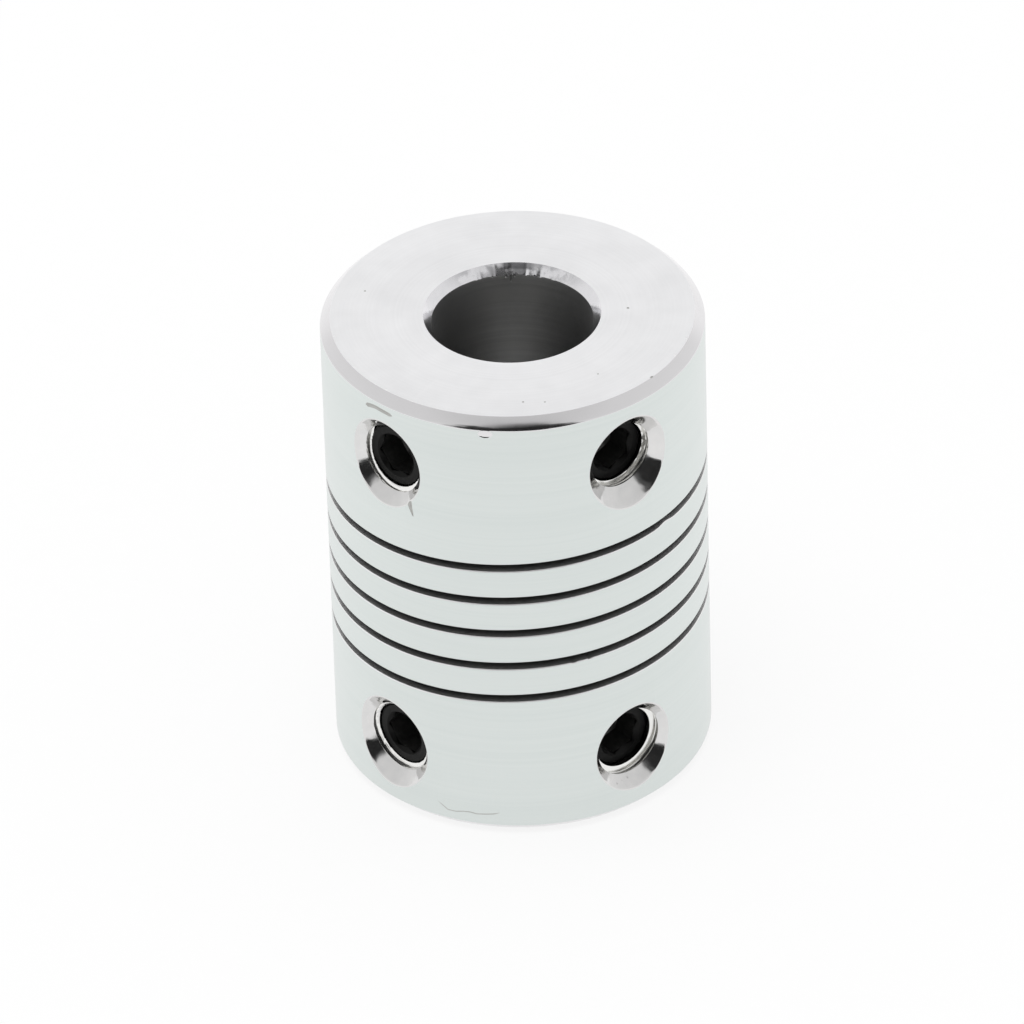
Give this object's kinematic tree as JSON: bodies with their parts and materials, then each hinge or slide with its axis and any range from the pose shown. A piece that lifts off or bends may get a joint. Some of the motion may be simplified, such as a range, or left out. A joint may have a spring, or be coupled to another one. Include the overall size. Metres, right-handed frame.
{
  "type": "shaft coupling",
  "caption": "One-piece flexible shaft coupling: a bored metal cylinder with a helical slot through its wall and radial socket set screws near both ends.",
  "frame": {"origin": "centre of the lower end face", "axes": "+Z along the shafts towards the upper bore, -Y to the front, midway between the two lines of set screws"},
  "size_m": [0.019, 0.019, 0.025],
  "materials": {
    "body_metal": "bare, fine turned satin",
    "screw_steel": "black oxide"
  },
  "bodies": {
    "root": {"coupling_body": "body_metal", "set_screw_upper_left": "screw_steel", "set_screw_upper_right": "screw_steel", "set_screw_lower_left": "screw_steel", "set_screw_lower_right": "screw_steel"}
  },
  "joints": []
}
